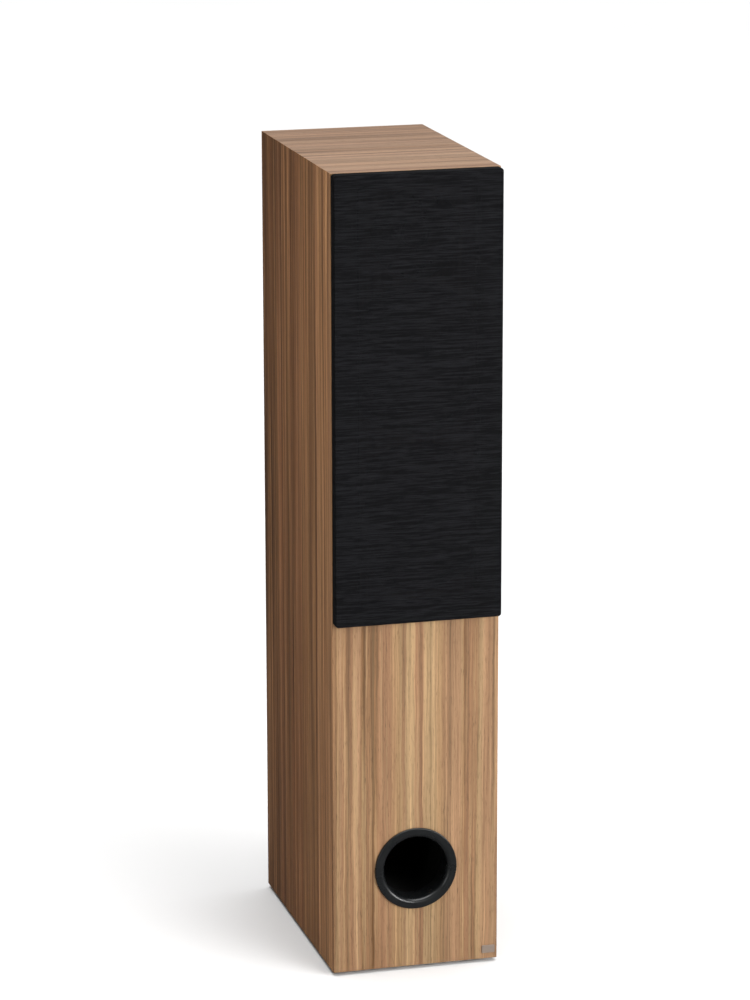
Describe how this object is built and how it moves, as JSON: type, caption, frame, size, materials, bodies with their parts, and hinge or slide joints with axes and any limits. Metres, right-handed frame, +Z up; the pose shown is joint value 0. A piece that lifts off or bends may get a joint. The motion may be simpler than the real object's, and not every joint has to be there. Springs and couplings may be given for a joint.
{
  "type": "floorstanding speaker",
  "caption": "Slim walnut-veneered floorstanding loudspeaker with a black lift-off cloth grille over its drivers, a round front reflex port and rear binding posts.",
  "frame": {"origin": "middle of the footprint, on the floor", "axes": "+Z up, the front faces -Y, +X to the right seen from the front"},
  "size_m": [0.19, 0.348, 0.904],
  "materials": {
    "veneered_panel": "open-grained walnut veneer, satin lacquer",
    "raw_board": "raw fibreboard",
    "rubber_foot": "matt black rubber",
    "badge_metal": "satin, unmarked",
    "fleece": "white polyester fleece",
    "painted_steel": "satin black paint",
    "butyl_rubber": "matt black",
    "paper_cone": "coated paper pulp, matt black",
    "spider_cloth": "resin-stiffened cloth",
    "copper_winding": "enamelled copper wire",
    "plated_steel": "zinc plated",
    "ferrite": "matt dark grey ceramic magnet",
    "black_moulding": "satin black",
    "coated_silk": "coated black textile",
    "card_tube": "black dyed card",
    "grille_frame": "matt black",
    "grille_cloth": "black open weave",
    "gold_plate": "gold plated",
    "red_knob": "red",
    "black_knob": "black",
    "circuit_board": "green laminate",
    "capacitor_film": "yellow film wrap",
    "wire_insulation": "black sheath"
  },
  "bodies": {
    "cabinet": {"acoustic_wadding": "fleece", "back_panel": "veneered_panel", "badge_plate": "badge_metal", "bass_inductor": "copper_winding", "black_post": "gold_plate", "bottom_panel": "veneered_panel", "cabinet_brace": "raw_board", "crossover_board": "circuit_board", "front_baffle": "veneered_panel", "grille_socket_bottom_left": "black_moulding", "grille_socket_bottom_right": "black_moulding", "grille_socket_top_left": "black_moulding", "grille_socket_top_right": "black_moulding", "left_side_panel": "veneered_panel", "lower_woofer_basket": "painted_steel", "lower_woofer_magnet": "ferrite", "lower_woofer_spider": "spider_cloth", "lower_woofer_surround": "butyl_rubber", "lower_woofer_top_plate": "plated_steel", "lower_woofer_yoke": "plated_steel", "port_flange": "black_moulding", "port_tube": "card_tube", "red_post": "gold_plate", "right_side_panel": "veneered_panel", "rubber_foot_back_left": "rubber_foot", "rubber_foot_back_right": "rubber_foot", "rubber_foot_front_left": "rubber_foot", "rubber_foot_front_right": "rubber_foot", "terminal_plate": "black_moulding", "top_panel": "veneered_panel", "treble_capacitor": "capacitor_film", "tweeter_faceplate": "black_moulding", "tweeter_magnet": "ferrite", "tweeter_top_plate": "plated_steel", "tweeter_yoke": "plated_steel", "upper_woofer_basket": "painted_steel", "upper_woofer_magnet": "ferrite", "upper_woofer_spider": "spider_cloth", "upper_woofer_surround": "butyl_rubber", "upper_woofer_top_plate": "plated_steel", "upper_woofer_yoke": "plated_steel", "wiring_loom": "wire_insulation"},
    "upper_cone_assembly": {"upper_woofer_cone": "paper_cone", "upper_woofer_dust_cap": "paper_cone", "upper_woofer_voice_coil": "copper_winding"},
    "lower_cone_assembly": {"lower_woofer_cone": "paper_cone", "lower_woofer_dust_cap": "paper_cone", "lower_woofer_voice_coil": "copper_winding"},
    "tweeter_diaphragm": {"tweeter_dome": "coated_silk", "tweeter_voice_coil": "copper_winding"},
    "grille": {"grille_frame": "grille_frame", "grille_cloth": "grille_cloth", "grille_peg_top_left": "black_moulding", "grille_peg_top_right": "black_moulding", "grille_peg_bottom_left": "black_moulding", "grille_peg_bottom_right": "black_moulding"},
    "red_clamp": {"red_washer": "gold_plate"},
    "red_screw_knob": {"red_knob": "red_knob"},
    "black_clamp": {"black_washer": "gold_plate"},
    "black_screw_knob": {"black_knob": "black_knob"}
  },
  "joints": [
    {"name": "upper_cone_excursion", "type": "slide", "parent": "cabinet", "child": "upper_cone_assembly", "axis": [0, -1, 0], "range_m": [-0.004, 0.004], "stiffness_N_per_m": 1000, "deforming": ["upper_woofer_surround", "upper_woofer_spider"]},
    {"name": "lower_cone_excursion", "type": "slide", "parent": "cabinet", "child": "lower_cone_assembly", "axis": [0, -1, 0], "range_m": [-0.004, 0.004], "stiffness_N_per_m": 1000, "deforming": ["lower_woofer_surround", "lower_woofer_spider"]},
    {"name": "tweeter_excursion", "type": "slide", "parent": "cabinet", "child": "tweeter_diaphragm", "axis": [0, -1, 0], "range_m": [-0.0005, 0.0005], "stiffness_N_per_m": 1000},
    {"name": "grille_pull_off", "type": "slide", "parent": "cabinet", "child": "grille", "axis": [0, -1, 0], "range_m": [0, 0.06]},
    {"name": "red_clamp_travel", "type": "slide", "parent": "cabinet", "child": "red_clamp", "axis": [0, 1, 0], "range_m": [0, 0.003]},
    {"name": "red_knob_turn", "type": "hinge", "parent": "red_clamp", "child": "red_screw_knob", "pos_m": [-0.015, 0.15295, 0.254], "axis": [0, 1, 0], "range_deg": [0, 1080]},
    {"name": "black_clamp_travel", "type": "slide", "parent": "cabinet", "child": "black_clamp", "axis": [0, 1, 0], "range_m": [0, 0.003]},
    {"name": "black_knob_turn", "type": "hinge", "parent": "black_clamp", "child": "black_screw_knob", "pos_m": [0.015, 0.15295, 0.254], "axis": [0, 1, 0], "range_deg": [0, 1080]}
  ],
  "couplings": [
    {"joint": "red_clamp_travel", "follows": "red_knob_turn", "m_per_rad": 0.000159},
    {"joint": "black_clamp_travel", "follows": "black_knob_turn", "m_per_rad": 0.000159}
  ]
}
